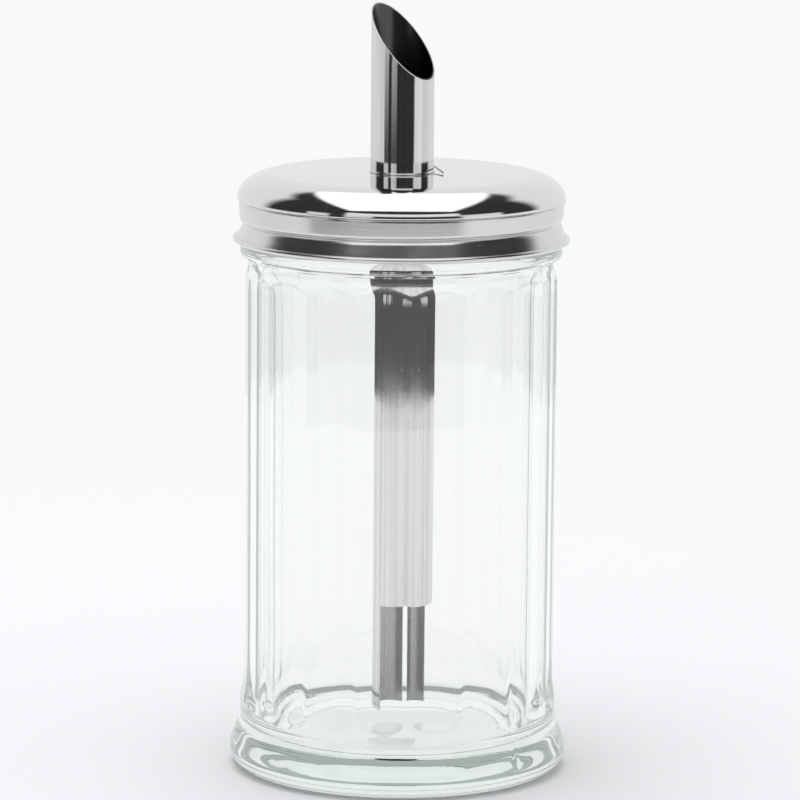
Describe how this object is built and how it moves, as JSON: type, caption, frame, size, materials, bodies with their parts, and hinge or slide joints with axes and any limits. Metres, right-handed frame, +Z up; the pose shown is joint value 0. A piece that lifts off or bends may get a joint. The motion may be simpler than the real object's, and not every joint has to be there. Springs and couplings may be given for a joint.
{
  "type": "sugar dispenser",
  "caption": "Sugar dispenser with a panelled glass jar, a screw-on domed steel lid and a slant-mouthed pouring tube with a check flap inside.",
  "frame": {"origin": "centre of the jar's foot, on the plane that it stands on", "axes": "+Z up along the jar; -Y faces the viewer of the picture, +X is to the viewer's right"},
  "size_m": [0.0772, 0.0772, 0.175],
  "materials": {
    "clear_glass": "clear pressed glass, faint green where it is thick",
    "polished_steel": "mirror-polished dome with a satin rolled skirt",
    "tube_steel": "polished drawn tube",
    "sheet_steel": "plain stamped sheet",
    "wire_steel": "drawn wire",
    "flap_steel": "fine satin",
    "seal": "soft moulded liner"
  },
  "bodies": {
    "jar": {"jar": "clear_glass"},
    "seal": {"seal_ring": "seal"},
    "lid": {"lid_cap": "polished_steel", "pour_tube": "tube_steel", "lock_ring": "sheet_steel", "flap_seat": "sheet_steel", "hinge_wire": "wire_steel"},
    "flap": {"flap": "flap_steel"}
  },
  "joints": [
    {"name": "lid_rise", "type": "slide", "parent": "jar", "child": "seal", "axis": [0, 0, 1], "range_m": [0, 0.00525]},
    {"name": "lid_turn", "type": "hinge", "parent": "seal", "child": "lid", "pos_m": [0, 0, 0.1274], "axis": [0, 0, 1], "range_deg": [0, 450]},
    {"name": "flap_swing", "type": "hinge", "parent": "lid", "child": "flap", "pos_m": [0, 0.0046, 0.13795], "axis": [-1, 0, 0], "range_deg": [0, 50]}
  ],
  "couplings": [
    {"joint": "lid_rise", "follows": "lid_turn", "m_per_rad": 0.00066845}
  ]
}
